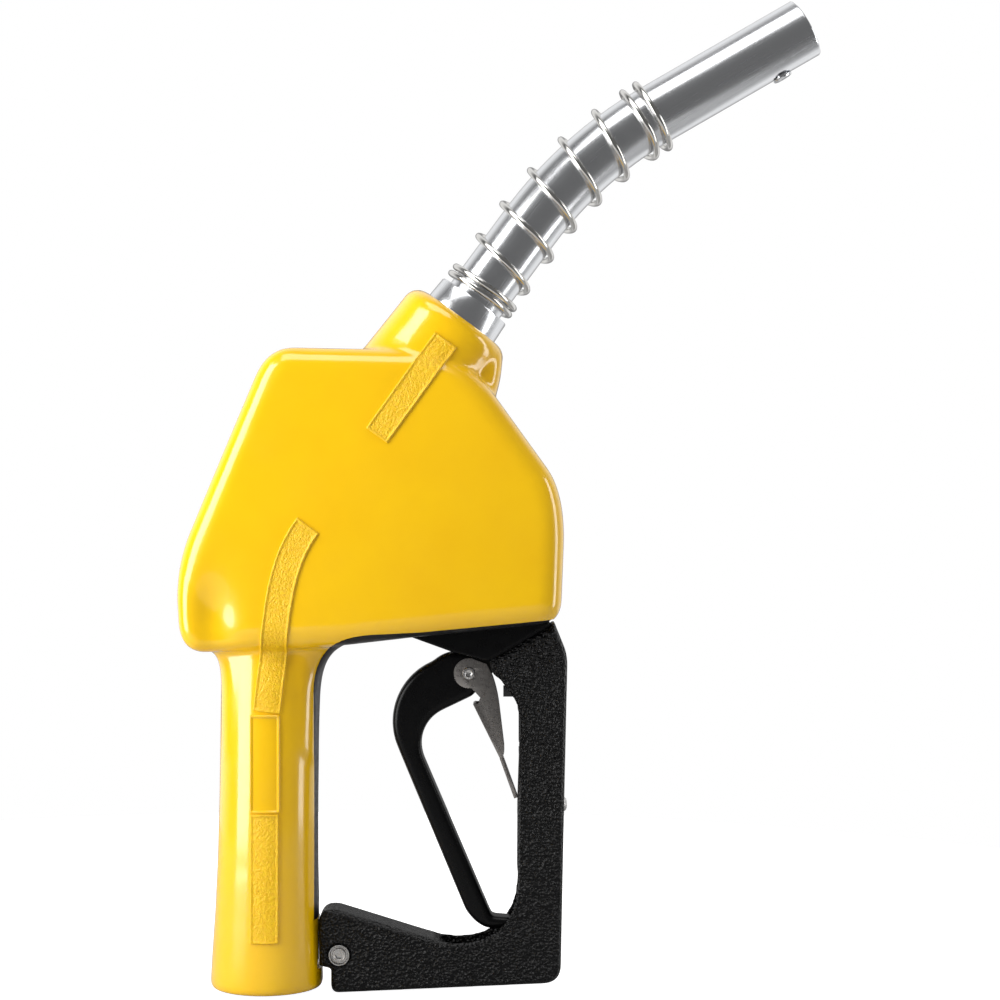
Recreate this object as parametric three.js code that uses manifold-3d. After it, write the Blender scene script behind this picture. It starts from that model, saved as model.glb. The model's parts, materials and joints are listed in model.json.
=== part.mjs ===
// Automatic shut-off fuel nozzle with a yellow jacket, a black lever guard and a spring-wound spout.
// Millimetres, +Z up. The origin is the centre of the hose inlet face at the foot of the handle, X
// points from the handle towards the guard, and the nozzle is symmetric about the Y = 0 plane.
import * as THREE from "three";
import { mergeVertices } from "three/addons/utils/BufferGeometryUtils.js";
import Module from "manifold-3d";

const wasm = await Module();
wasm.setup();

// Driving dimensions
const GAP = 0.3; // play left between pieces that touch
const DEGREE = Math.PI / 180;
const ROUND = 20; // sides of the large turned pieces
const SMALL = 10; // sides of the small turned pieces

const JACKET_HALF_DEPTH = 27;
const JACKET_WALL = 2.5;
const JACKET_EDGE = 7.5; // rounding between its flat faces and its sides
const HANDLE_LEAN = 0.014; // the handle's axis leans this much towards +X per millimetre of height
const HANDLE_BORE = 12;
const INLET_BORE = 15.8; // 1 inch pipe thread
const INLET_DEPTH = 24;

const COLLAR_END = [77.3, 265.2]; // X and Z of the middle of the collar's mouth
const COLLAR_RADIUS = 23.4;
const COLLAR_LENGTH = 46;
const SPOUT_TILT = 36.5 * DEGREE; // the spout's base leans from vertical towards +X
const SPOUT_RADIUS = 12;
const SPOUT_WALL = 1.4;
const SPOUT_ROOT = -7.7; // distances along the spout are counted from the collar's mouth
const SPOUT_STRAIGHT = 45.5;
const SPOUT_BEND_RADIUS = 165;
const SPOUT_BEND = 23.5 * DEGREE;
const SPOUT_LENGTH = SPOUT_STRAIGHT + SPOUT_BEND_RADIUS * SPOUT_BEND + 68.4;
const OUTLET_BORE = 14;
const ADAPTER_TOP = 8.6;
const PORT_FROM_TIP = 17.7;
const SPRING_WIRE = 1.25;
const SPRING_RADIUS = SPOUT_RADIUS + SPRING_WIRE + 0.9;
const SPRING_LEAN = 0.9; // its coils lean, and lie this much further along the spout at its outer side

const GUARD_HALF_DEPTH = 10.5;
const GUARD_CHANNEL = 7.9; // half width of the hollow that the lever moves in
const REAR_SCREW = [29.3, 14.6]; // X and Z of the guard's screw at the foot of the handle
const GUARD_PIN = [108.5, 135];
const RACK_BACK = 101.2;
const RACK_FACE = 99.9;
const RACK_FOOT = 62;
const RACK_RIVET_Z = 72.6;

const CHEEK_INNER = 7.8; // half width between the bracket's cheeks, and over them
const CHEEK_OUTER = 10.1;
const BRACKET_X0 = 49;
const BRACKET_X1 = 104;
const BRACKET_TOP = 146.6;
const BRACKET_SCREWS = [52.5, 89.2];
const STEM_HOLE = 3.4;
const PLUNGER_HOLE = 5.4;
const SCREW_HOLE = 1.9;

const PIVOT_X = 98; // lever pivot, in the foot of the latch plunger
const PIVOT_Z = 134;
const LEVER_HALF_DEPTH = 5.5;
const LEVER_SLOT = 2.6; // half width of the fork in its head
const PLATE_INNER = 5.8; // the clip's side plates lie against the lever
const PLATE_OUTER = 6.8;
const CLIP_PIVOT = [80.2, 125];
const WEB_TOP = [82.4, 112.9]; // the web that joins the clip's plates, and the strut below it
const WEB_FOOT = [93, 91.6];
const STRUT_TIP = [98.8, 75.6];

const VALVE_X = 73;
const VALVE_BORE = 13;
const SPRING_POCKET = 12; // the bores above the valve and above the latch
const BALL_LEVEL = 166;
const BALL_RADIUS = 1.6;

// Turns a three.js geometry into a solid that can be joined and cut.
function solid(geometry) {
  const bare = geometry.index ? geometry.toNonIndexed() : geometry.clone();
  bare.deleteAttribute("normal");
  bare.deleteAttribute("uv");
  const merged = mergeVertices(bare, 1e-4);
  const corners = merged.index.array;
  const kept = [];
  for (let i = 0; i < corners.length; i += 3) {
    const [a, b, c] = corners.slice(i, i + 3);
    if (a !== b && b !== c && c !== a) kept.push(a, b, c);
  }
  return new wasm.Manifold(
    new wasm.Mesh({
      numProp: 3,
      vertProperties: merged.attributes.position.array,
      triVerts: new Uint32Array(kept),
    }),
  );
}

function geometryOf(manifold) {
  const mesh = manifold.getMesh();
  const geometry = new THREE.BufferGeometry();
  geometry.setAttribute("position", new THREE.BufferAttribute(mesh.vertProperties, 3));
  geometry.setIndex(new THREE.BufferAttribute(mesh.triVerts, 1));
  return geometry;
}

function join(...geometries) {
  return geometryOf(geometries.map(solid).reduce((whole, piece) => whole.add(piece)));
}

function cut(geometry, ...tools) {
  return geometryOf(tools.map(solid).reduce((rest, tool) => rest.subtract(tool), solid(geometry)));
}

function common(geometry, other) {
  return geometryOf(solid(geometry).intersect(solid(other)));
}

// A plate with its outline in the XZ plane, from y0 to y1, with its edges rounded by edge.
// inset draws the whole outline in.
function plate(shape, y0, y1, { edge = 0, edgeDepth = edge, inset = 0, steps = 2, curve = 5 } = {}) {
  const geometry = new THREE.ExtrudeGeometry(shape, {
    depth: y1 - y0 - 2 * edgeDepth,
    bevelEnabled: edge > 0,
    bevelSize: edge,
    bevelThickness: edgeDepth,
    bevelOffset: -edge - inset,
    bevelSegments: steps,
    curveSegments: curve,
  });
  return geometry.rotateX(Math.PI / 2).translate(0, y1 - edgeDepth, 0);
}

function polygon(points) {
  return new THREE.Shape(points.map(([x, z]) => new THREE.Vector2(x, z)));
}

function block(x0, x1, y0, y1, z0, z1) {
  return new THREE.BoxGeometry(x1 - x0, y1 - y0, z1 - z0).translate(
    (x0 + x1) / 2,
    (y0 + y1) / 2,
    (z0 + z1) / 2,
  );
}

// A solid turned about the Z axis from [radius, height] pairs that start and end on the axis.
function turned(profile, sides = ROUND) {
  const points = profile.map(([r, z]) => new THREE.Vector2(r, z));
  return new THREE.LatheGeometry(points, sides).rotateX(Math.PI / 2);
}

function ring(inner, outer, z0, z1, sides = ROUND) {
  return turned([[inner, z0], [outer, z0], [outer, z1], [inner, z1], [inner, z0]], sides);
}

function disc(radius, z0, z1, sides = ROUND) {
  return turned([[0, z0], [radius, z0], [radius, z1], [0, z1]], sides);
}

// A straight rod or bore between two points.
function rod(from, to, radius, sides = SMALL) {
  const a = new THREE.Vector3(...from);
  const b = new THREE.Vector3(...to);
  const turn = new THREE.Quaternion().setFromUnitVectors(
    new THREE.Vector3(0, 0, 1),
    b.clone().sub(a).normalize(),
  );
  return disc(radius, 0, a.distanceTo(b), sides).applyQuaternion(turn).translate(...from);
}

// A pin across the nozzle, along Y.
function crossRod(x, z, y0, y1, radius, sides = SMALL) {
  return rod([x, y0, z], [x, y1, z], radius, sides);
}

// The wire of a coil spring about the Z axis.
class Helix extends THREE.Curve {
  constructor(radius, z0, z1, turns) {
    super();
    Object.assign(this, { radius, z0, z1, turns });
  }
  getPoint(t, target = new THREE.Vector3()) {
    const angle = t * this.turns * 2 * Math.PI;
    const z = THREE.MathUtils.lerp(this.z0, this.z1, t);
    return target.set(this.radius * Math.cos(angle), this.radius * Math.sin(angle), z);
  }
}

function wireAlong(curve, wire, steps, sides = 6) {
  const section = new THREE.Shape().absarc(0, 0, wire, 0, 2 * Math.PI);
  return new THREE.ExtrudeGeometry(section, { steps, curveSegments: sides / 2, extrudePath: curve });
}

function coilSpring(radius, wire, z0, z1, turns) {
  const curve = new Helix(radius, z0 + wire, z1 - wire, turns);
  return wireAlong(curve, wire, Math.round(turns * 8));
}

// The spout's axis. A point is given by its distance along the axis and its place across it.
function spoutPoint(along, acrossX = 0, acrossY = 0) {
  const bent = THREE.MathUtils.clamp((along - SPOUT_STRAIGHT) / SPOUT_BEND_RADIUS, 0, SPOUT_BEND);
  const before = Math.min(along, SPOUT_STRAIGHT);
  const after = Math.max(along - SPOUT_STRAIGHT - SPOUT_BEND_RADIUS * SPOUT_BEND, 0);
  const x = SPOUT_BEND_RADIUS * (1 - Math.cos(bent)) + after * Math.sin(bent) + acrossX * Math.cos(bent);
  const z = before + SPOUT_BEND_RADIUS * Math.sin(bent) + after * Math.cos(bent) - acrossX * Math.sin(bent);
  return new THREE.Vector3(x, acrossY, z);
}

// Bends a geometry that was made straight along Z to the spout's curve.
function bentAlongSpout(geometry) {
  const place = geometry.attributes.position;
  for (let i = 0; i < place.count; i++) {
    const point = spoutPoint(place.getZ(i), place.getX(i), place.getY(i));
    place.setXYZ(i, point.x, point.y, point.z);
  }
  return geometry;
}

// Carries a geometry from the spout's own frame to the nozzle's.
function fromSpout(geometry) {
  return geometry.rotateY(SPOUT_TILT).translate(COLLAR_END[0], 0, COLLAR_END[1]);
}

// The outline of the main body, seen from the side.
function bodyShape() {
  return new THREE.Shape()
    .moveTo(-23, 133.9)
    .lineTo(30, 136)
    .lineTo(58, 139.2)
    .lineTo(107, 144.2)
    .quadraticCurveTo(116, 145, 116.2, 155)
    .lineTo(117.2, 176)
    .quadraticCurveTo(118, 196, 110, 207)
    .lineTo(92.5, 231)
    .quadraticCurveTo(77, 251.4, 60, 251.8)
    .lineTo(13, 252.6)
    .quadraticCurveTo(2, 253, -3, 241.4)
    .lineTo(-28.4, 180.6)
    .quadraticCurveTo(-33.4, 168, -33.2, 154)
    .lineTo(-33, 147)
    .quadraticCurveTo(-32.6, 134.2, -23, 133.9);
}

// The throat where the handle runs into the body, with its round corners.
function neckShape() {
  return new THREE.Shape()
    .moveTo(-17.4, 98)
    .lineTo(20.4, 98)
    .lineTo(21.2, 112)
    .bezierCurveTo(21.6, 134.5, 27, 138.6, 58, 139.4)
    .lineTo(66, 160)
    .lineTo(-28, 160)
    .lineTo(-28, 137)
    .lineTo(-24, 134.4)
    .bezierCurveTo(-18, 133.4, -17.4, 127, -17.6, 112);
}

function handle(inset, foot) {
  const profile = [
    [0, foot], [21.6, foot], [22.4, foot + 2], [21.9, 12],
    [20.8, 30], [20.1, 50], [19.8, 75], [19.8, 160],
  ];
  const drawnIn = profile.map(([r, z]) => [Math.max(r - inset, 0), z]);
  const geometry = turned([...drawnIn, [0, 160]]);
  const lean = new THREE.Matrix4().makeShear(0, 0, 0, 0, HANDLE_LEAN, 0);
  return geometry.applyMatrix4(lean);
}

function collar(inset) {
  const r = COLLAR_RADIUS - inset;
  const lip = 5.5;
  const profile = [[0, -COLLAR_LENGTH], [r + 1, -COLLAR_LENGTH], [r, -lip - 3]];
  for (const turn of [0, 30, 60, 90]) {
    const across = r - lip + lip * Math.cos(turn * DEGREE);
    profile.push([across, -lip - inset + lip * Math.sin(turn * DEGREE)]);
  }
  return fromSpout(turned([...profile, [0, -inset]]));
}

// The nozzle's whole outside without its guard and spout, drawn in by inset.
function jacketSolid(inset, foot) {
  const half = JACKET_HALF_DEPTH - inset;
  const bodyEdge = JACKET_EDGE - inset;
  const body = plate(bodyShape(), -half, half, { edge: bodyEdge, inset, curve: 4 });
  const throat = 17 - inset;
  const neck = plate(neckShape(), -throat, throat, { edge: bodyEdge, inset });
  return join(body, neck, handle(inset, foot), collar(inset));
}

// The side of the nozzle that the jacket leaves bare: a strip down the handle and the underside.
function bareSide(clearance) {
  const foot = 28 + 2 * clearance;
  const shape = new THREE.Shape()
    .moveTo(19.3, foot)
    .lineTo(19.3, 118)
    .bezierCurveTo(19.6, 136, 30, 141, 46, 141.3)
    .lineTo(61.4, 142)
    .lineTo(130, 148.4)
    .lineTo(130, foot);
  return plate(shape, -40, 40).translate(clearance, 0, -clearance);
}

function bodyCover() {
  const hollow = jacketSolid(JACKET_WALL, -4);
  const mouth = fromSpout(disc(16.9, -20, 6));
  const inside = JACKET_HALF_DEPTH - JACKET_WALL;
  const underside = block(46, 113.6, -inside, inside, 130, 150);
  const tongueSlot = block(10, 30, -6, 6, 2.5, 26.5);
  const lug = GUARD_HALF_DEPTH + GAP;
  const guardFlat = block(20.6, 30, -lug, lug, 8.6, 34);
  return cut(jacketSolid(0, 0.4), hollow, mouth, bareSide(0), underside, tongueSlot, guardFlat);
}

// The bracket under the body that guides the lever between its two cheeks.
function leverBracket() {
  const outline = polygon([
    [BRACKET_X0, BRACKET_TOP],
    [BRACKET_X0, 143.2],
    [57.9, 139.3],
    [73.6, 133.6],
    [87.6, 130.2],
    [111.8, 144.4],
    [111.8, 145.2],
    [BRACKET_X1, 145.2],
    [BRACKET_X1, BRACKET_TOP],
  ]);
  const whole = plate(outline, -CHEEK_OUTER, CHEEK_OUTER);
  const leverRoom = block(40, 120, -CHEEK_INNER, CHEEK_INNER, 120, 143.4);
  const stemHole = rod([VALVE_X, 0, 140], [VALVE_X, 0, 150], STEM_HOLE);
  const plungerHole = rod([PIVOT_X, 0, 140], [PIVOT_X, 0, 150], PLUNGER_HOLE);
  const screwHoles = BRACKET_SCREWS.map((x) => rod([x, 0, 140], [x, 0, 150], SCREW_HOLE));
  const tongueRoom = block(104.6, 120, -CHEEK_INNER, CHEEK_INNER, 120, 150);
  return cut(whole, leverRoom, tongueRoom, stemHole, plungerHole, ...screwHoles);
}

function nozzleBody() {
  const core = jacketSolid(JACKET_WALL + GAP, 0);
  const bare = common(jacketSolid(0.7, 0), bareSide(GAP));
  const frontTongue = block(105.6, 111.4, -7.4, 7.4, 128.5, 149);
  const rearTongue = block(14, 36, -5.2, 5.2, 4, 24);
  const whole = join(core, bare, frontTongue, rearTongue);
  const seatHalf = CHEEK_OUTER + GAP;
  const bracketSeat = block(
    BRACKET_X0 - GAP, BRACKET_X1 + GAP, -seatHalf, seatHalf, 120, BRACKET_TOP + GAP,
  );
  return cut(whole, bracketSeat, ...guardSeats(), ...bodyPassages(), ...bodyHoles());
}

// The guard's head stands round the front tongue, with its top edge let into the casting.
function guardSeats() {
  const outer = GUARD_HALF_DEPTH + GAP;
  const inner = GUARD_CHANNEL - GAP;
  const top = 145.6;
  return [
    block(86, 105.4, -outer, outer, 120, top),
    block(105, 121, inner, outer, 120, top),
    block(105, 121, -outer, -inner, 120, top),
    block(113.4, 121, -outer, outer, 120, top),
  ];
}

// Everything that fuel or air runs through inside the casting.
function bodyPassages() {
  const inlet = disc(INLET_BORE, -2, INLET_DEPTH);
  const handleBore = rod([0, 0, INLET_DEPTH - 2], [2.7, 0, 196], HANDLE_BORE, ROUND);
  const inletGallery = rod([3, -11, 190], [66, -11, 190], 8);
  const valveBore = turned([
    [0, 140], [VALVE_BORE, 140], [VALVE_BORE, 170.3],
    [SPRING_POCKET, 170.3], [SPRING_POCKET, 206], [0, 206],
  ]);
  const outletGallery = rod([VALVE_X - 3, 9, 158.5], [49, 12, 160], 6.4);
  const outletRiser = rod([50, 12, 156], [45.5, 6, 219], 7);
  const outlet = fromSpout(disc(OUTLET_BORE, -54, 6));
  const latchBore = turned([
    [0, 140], [PLUNGER_HOLE, 140], [PLUNGER_HOLE, 146], [8.2, 146], [8.2, 163], [9.3, 163],
    [9.3, 184], [SPRING_POCKET, 184], [SPRING_POCKET, 240], [0, 240],
  ]);
  return [
    inlet,
    handleBore,
    inletGallery,
    valveBore.translate(VALVE_X, 0, 0),
    outletGallery,
    outletRiser,
    outlet,
    latchBore.translate(PIVOT_X, 0, 0),
  ];
}

// The holes for its screws and pins.
function bodyHoles() {
  const rearScrew = crossRod(...REAR_SCREW, -8, 8, 2.8);
  const guardPin = crossRod(...GUARD_PIN, -9, 9, 2.3);
  const bracketScrews = BRACKET_SCREWS.map((x) => rod([x, 0, 140], [x, 0, 156], SCREW_HOLE));
  const spoutScrew = fromSpout(rod([0, 10, -14], [0, 24, -14], 2.4));
  return [rearScrew, guardPin, ...bracketScrews, spoutScrew];
}

function guardShape() {
  return new THREE.Shape()
    .moveTo(113.9, 145.2)
    .lineTo(118, 135)
    .quadraticCurveTo(119.2, 131.5, 119, 127)
    .lineTo(117.8, 74)
    .lineTo(116.5, 10)
    .quadraticCurveTo(116.3, 3.3, 109.5, 3)
    .lineTo(29, -0.5)
    .quadraticCurveTo(26, -0.6, 26, 3)
    .lineTo(26, 9)
    .lineTo(21.4, 10)
    .lineTo(21, 27)
    .quadraticCurveTo(21.6, 33.4, 29, 32)
    .lineTo(62, 21.8)
    .bezierCurveTo(82, 14.8, 99.2, 22, 99.2, 43)
    .lineTo(99.4, 74)
    .lineTo(100.4, 104)
    .quadraticCurveTo(100.4, 111, 97.4, 115.6)
    .lineTo(92.6, 122.2)
    .lineTo(89.4, 124.8)
    .lineTo(87.9, 129.9);
}

function leverGuard() {
  const rounding = { edge: 1.4, edgeDepth: 2.4, steps: 1, curve: 9 };
  const whole = plate(guardShape(), -GUARD_HALF_DEPTH, GUARD_HALF_DEPTH, rounding);
  const headRoom = plate(
    polygon([[78, 112], [103, 112], [115.2, 119], [115.2, 136], [110, 150], [78, 150]]),
    -GUARD_CHANNEL,
    GUARD_CHANNEL,
  );
  const toeRoom = plate(
    polygon([[62, 24], [74, 14], [104.5, 14], [104.5, 42], [97, 50], [62, 50]]),
    -GUARD_CHANNEL,
    GUARD_CHANNEL,
  );
  const tongueRoom = block(14, 38, -5.5, 5.5, 3, 25);
  const screwHole = crossRod(...REAR_SCREW, -12, 12, 2.8);
  const screwSeat = crossRod(...REAR_SCREW, -12, -8.6, 4.7);
  const nutSeat = crossRod(...REAR_SCREW, 7.4, 12, 5.2);
  const pinHole = crossRod(...GUARD_PIN, -9.4, 12, 2.3);
  const rackSeat = block(95, RACK_BACK + GAP, -4.8, 4.8, RACK_FOOT - GAP, 113);
  const rackRivetHole = rod([98, 0, RACK_RIVET_Z], [122, 0, RACK_RIVET_Z], SCREW_HOLE);
  const rooms = [headRoom, toeRoom, tongueRoom, rackSeat];
  return cut(whole, ...rooms, screwHole, screwSeat, nutSeat, pinHole, rackRivetHole);
}

// The notched steel strip inside the guard that the clip's strut stands on. Its top is the lever's stop.
function holdOpenRack() {
  const notches = 4;
  const outline = [
    [RACK_BACK, RACK_FOOT], [RACK_BACK, 119.4], [93.8, 119.4], [93.8, 115.6], [RACK_FACE, 115.6],
  ];
  for (let i = notches - 1; i >= 0; i--) {
    const z = 80 + 5 * i;
    outline.push([RACK_FACE, z + 3], [RACK_FACE + 0.7, z + 1.4], [RACK_FACE, z]);
  }
  outline.push([RACK_FACE, RACK_FOOT]);
  const strip = plate(polygon(outline), -4.5, 4.5);
  return cut(strip, rod([98, 0, RACK_RIVET_Z], [104, 0, RACK_RIVET_Z], SCREW_HOLE));
}

function leverShape() {
  return new THREE.Shape()
    .moveTo(98, 139.4)
    .absarc(PIVOT_X, PIVOT_Z, 5.4, 90 * DEGREE, -60 * DEGREE, true)
    .lineTo(89.5, 124.8)
    .lineTo(81.5, 115.8)
    .absarc(76, 97, 14.6, 116 * DEGREE, 204 * DEGREE, false)
    .lineTo(89.3, 29.2)
    .lineTo(97, 28.6)
    .quadraticCurveTo(99.6, 24, 94, 23.6)
    .lineTo(88, 23.9)
    .quadraticCurveTo(83, 25, 78.8, 31.4)
    .absarc(75.5, 105.7, 25.6, 204 * DEGREE, 112 * DEGREE, true)
    .quadraticCurveTo(69.5, 132.7, 74, 133.3)
    .lineTo(80, 133.5);
}

function lever() {
  const rounding = { edge: 2, edgeDepth: 2.4, curve: 6 };
  const whole = plate(leverShape(), -LEVER_HALF_DEPTH, LEVER_HALF_DEPTH, rounding);
  const fork = block(90, 110, -LEVER_SLOT, LEVER_SLOT, 110, 145);
  const eye = crossRod(PIVOT_X, PIVOT_Z, -8, 8, 2.7);
  const rivetHole = crossRod(...CLIP_PIVOT, -8, 8, 2);
  const springSeat = crossRod(...CLIP_PIVOT, 2.4, 8, 4.5);
  return cut(whole, fork, eye, rivetHole, springSeat);
}

// A flat strip on edge between two points of the XZ plane.
function strip(from, to, thickness, halfWidth) {
  const along = new THREE.Vector2(to[0] - from[0], to[1] - from[1]).normalize();
  const [sx, sz] = [(-along.y * thickness) / 2, (along.x * thickness) / 2];
  const corners = [
    [from[0] + sx, from[1] + sz],
    [from[0] - sx, from[1] - sz],
    [to[0] - sx, to[1] - sz],
    [to[0] + sx, to[1] + sz],
  ];
  return plate(polygon(corners), -halfWidth, halfWidth);
}

function clipPlateShape() {
  return new THREE.Shape()
    .moveTo(81.4, 130.8)
    .absarc(...CLIP_PIVOT, 5.9, 78 * DEGREE, 280 * DEGREE, false)
    .lineTo(84.9, 115.2)
    .lineTo(84.1, 113)
    .lineTo(...WEB_TOP)
    .lineTo(...WEB_FOOT)
    .quadraticCurveTo(94.4, 92.6, 94.2, 96)
    .lineTo(92.4, 111)
    .quadraticCurveTo(91.2, 121.5, 87.2, 128.6);
}

function holdOpenClip() {
  const front = plate(clipPlateShape(), -PLATE_OUTER, -PLATE_INNER, { curve: 8 });
  const back = plate(clipPlateShape(), PLATE_INNER, PLATE_OUTER, { curve: 8 });
  const web = strip(WEB_TOP, WEB_FOOT, 1.1, PLATE_OUTER);
  const strut = strip(WEB_FOOT, STRUT_TIP, 1.5, 4.4);
  return cut(join(front, back, web, strut), crossRod(...CLIP_PIVOT, -8, 8, 2));
}

// A rivet or pin along Z with a head at each end.
function headedPin(shaft, head, z0, z1, headHeight) {
  return turned(
    [[0, z0], [head - 0.4, z0], [head, z0 + 0.4], [head, z0 + headHeight], [shaft, z0 + headHeight],
     [shaft, z1 - headHeight], [head, z1 - headHeight], [head, z1 - 0.4], [head - 0.4, z1], [0, z1]],
    SMALL,
  );
}

// A socket screw along Z, its head up, with its socket cut in.
function socketScrew(shaft, length, head, headHeight) {
  const body = turned(
    [[0, -length], [shaft - 0.4, -length], [shaft, 0.4 - length], [shaft, 0], [head, 0],
     [head, headHeight - 0.5], [head - 0.5, headHeight], [0, headHeight]],
    SMALL,
  );
  const socket = disc(shaft * 0.6, headHeight * 0.4, headHeight + 1, 6);
  return cut(body, socket);
}

// A wide-seat ring profile for the main seat and the check seat.
function seatRing(inner, outer, z0, z1) {
  const third = (z1 - z0) * 0.3;
  return turned([
    [inner, z0], [outer, z0], [outer, z1], [inner + 2.2, z1],
    [inner + 1.2, z1 - third], [inner, z0 + third], [inner, z0],
  ]);
}

function plunger() {
  const stem = turned(
    [
      [0, 140.2], [5, 140.2], [5, 161.2], [7.5, 161.2], [7.5, 162.6],
      [5, 162.6], [5, 171], [2.5, 171], [2.5, 160], [0, 160],
    ],
    SMALL,
  ).translate(PIVOT_X, 0, 0);
  const tongueShape = new THREE.Shape()
    .moveTo(102.4, 142)
    .lineTo(102.4, 134)
    .absarc(PIVOT_X, PIVOT_Z, 4.4, 0, -180 * DEGREE, true)
    .lineTo(93.6, 142);
  const tongue = plate(tongueShape, -2.2, 2.2);
  const eye = crossRod(PIVOT_X, PIVOT_Z, -6, 6, 2.7);
  const windows = [0, 1, 2].map((i) => {
    const angle = i * 120 * DEGREE;
    const out = [PIVOT_X + 7 * Math.cos(angle), 7 * Math.sin(angle), BALL_LEVEL];
    return rod([PIVOT_X, 0, BALL_LEVEL], out, BALL_RADIUS + GAP, 12);
  });
  return cut(join(stem, tongue), eye, ...windows);
}

function latchBall(index) {
  const angle = index * 120 * DEGREE;
  const ball = new THREE.SphereGeometry(BALL_RADIUS, 12, 8);
  return ball.translate(PIVOT_X + 4 * Math.cos(angle), 4 * Math.sin(angle), BALL_LEVEL);
}

function spoutTube() {
  const tip = SPOUT_LENGTH;
  const bendEnd = SPOUT_STRAIGHT + SPOUT_BEND_RADIUS * SPOUT_BEND;
  const inner = SPOUT_RADIUS - SPOUT_WALL;
  const bendSteps = 7;
  const stations = [SPOUT_ROOT, SPOUT_STRAIGHT];
  for (let i = 1; i <= bendSteps; i++) {
    stations.push(THREE.MathUtils.lerp(SPOUT_STRAIGHT, bendEnd, i / bendSteps));
  }
  const outside = stations.map((s) => [SPOUT_RADIUS, s]);
  const mouth = [
    [SPOUT_RADIUS, tip - 0.8], [SPOUT_RADIUS - 0.5, tip], [inner + 0.3, tip], [inner, tip - 0.8],
  ];
  const inside = stations.toReversed().map((s) => [inner, s]);
  const wall = bentAlongSpout(turned([...outside, ...mouth, ...inside, outside[0]]));
  return cut(wall, portBore(3.3));
}

// A bore across the spout's lower wall where the sensing port sits.
function portBore(radius) {
  const at = SPOUT_LENGTH - PORT_FROM_TIP;
  const inside = spoutPoint(at, 8);
  const outside = spoutPoint(at, 15);
  return rod(inside.toArray(), outside.toArray(), radius);
}

function ventPortBushing() {
  const profile = [[1.3, 0], [3, 0], [3, 3.4], [4, 3.5], [3.6, 4.3], [3, 4.5], [1.3, 4.5], [1.3, 0]];
  const at = SPOUT_LENGTH - PORT_FROM_TIP;
  const base = spoutPoint(at, 8.75);
  const turn = Math.PI / 2 + SPOUT_BEND;
  return turned(profile, SMALL).rotateY(turn).translate(base.x, 0, base.z);
}

function ventTube() {
  const outer = 2.2;
  const inner = 1.5;
  const foot = -6.5;
  const top = SPOUT_LENGTH - PORT_FROM_TIP - 5;
  const steps = 9;
  const heights = Array.from({ length: steps + 1 }, (_, i) =>
    THREE.MathUtils.lerp(foot, top, i / steps),
  );
  const outside = heights.map((z) => [outer, z]);
  const inside = heights.toReversed().map((z) => [inner, z]);
  const profile = [...outside, ...inside, outside[0]];
  return bentAlongSpout(turned(profile, SMALL - 2).translate(7.6, 0, 0));
}

// The wire wound on the outside of the spout: a few turns lie close at each end of it.
class SpoutCoil extends THREE.Curve {
  getPoint(t, target = new THREE.Vector3()) {
    const turns = 8.7;
    const start = 54 * DEGREE;
    const lower = { turns: 1.7, pitch: 3.1 };
    const upper = { turns: 1.4, pitch: 5.6 };
    const [first, last] = [ADAPTER_TOP + SPRING_WIRE + GAP, 112.1];
    const openTurns = turns - lower.turns - upper.turns;
    const closeLength = lower.turns * lower.pitch + upper.turns * upper.pitch;
    const openPitch = (last - first - closeLength) / openTurns;
    const turn = t * turns;
    const below = Math.min(turn, lower.turns) * lower.pitch;
    const middle = THREE.MathUtils.clamp(turn - lower.turns, 0, openTurns) * openPitch;
    const above = Math.max(turn - lower.turns - openTurns, 0) * upper.pitch;
    const angle = start - turn * 2 * Math.PI;
    const across = [SPRING_RADIUS * Math.cos(angle), SPRING_RADIUS * Math.sin(angle)];
    const lean = SPRING_LEAN * (1 + Math.cos(angle));
    return target.copy(spoutPoint(first + below + middle + above + lean, ...across));
  }
}

function spoutAdapter() {
  const profile = [
    [11, -30], [13.7, -30], [13.7, -24.2], [12.2, -24.2], [12.2, -21.4], [13.7, -21.4],
    [13.7, -2.5], [15.9, -2.5], [15.9, 0], [15.4, ADAPTER_TOP], [12.3, ADAPTER_TOP],
    [12.3, -8], [11, -8], [11, -30],
  ];
  return cut(turned(profile), rod([0, 11, -14], [0, 18, -14], 2.4));
}

function checkGuide() {
  const hub = disc(4, -12, -9.5, SMALL);
  const arm = block(0, 9.5, -0.8, 0.8, -12, -9.5);
  const arms = [0, 1, 2].map((i) => arm.clone().rotateZ(i * 120 * DEGREE));
  return cut(join(ring(9, 10.7, -12, -9.5), hub, ...arms), disc(2.4, -14, -8, SMALL));
}

// Materials
const yellowRubber = { color: 0xf2bd00, roughness: 0.3, metalness: 0 };
const blackPaint = { color: 0x17181a, roughness: 0.5, metalness: 0.2 };
const blackPlastic = { color: 0x1c1c1e, roughness: 0.65, metalness: 0 };
const aluminium = { color: 0xb9babd, roughness: 0.28, metalness: 1 };
const steel = { color: 0x8d8a86, roughness: 0.3, metalness: 1 };
const brass = { color: 0xb08d45, roughness: 0.35, metalness: 1 };
const darkRubber = { color: 0x111111, roughness: 0.8, metalness: 0 };
const clearPlastic = { color: 0xc9c4b4, roughness: 0.5, metalness: 0 };

const nozzle = new THREE.Group();
const spout = new THREE.Group();
const valve = new THREE.Group();
const latch = new THREE.Group();
nozzle.add(spout, valve, latch);
spout.position.set(COLLAR_END[0], 0, COLLAR_END[1]);
spout.rotation.y = SPOUT_TILT;
valve.position.x = VALVE_X;
latch.position.x = PIVOT_X;

function add(group, name, geometry, look) {
  const mesh = new THREE.Mesh(geometry, new THREE.MeshStandardMaterial(look));
  mesh.name = name;
  group.add(mesh);
  return mesh;
}

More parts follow.
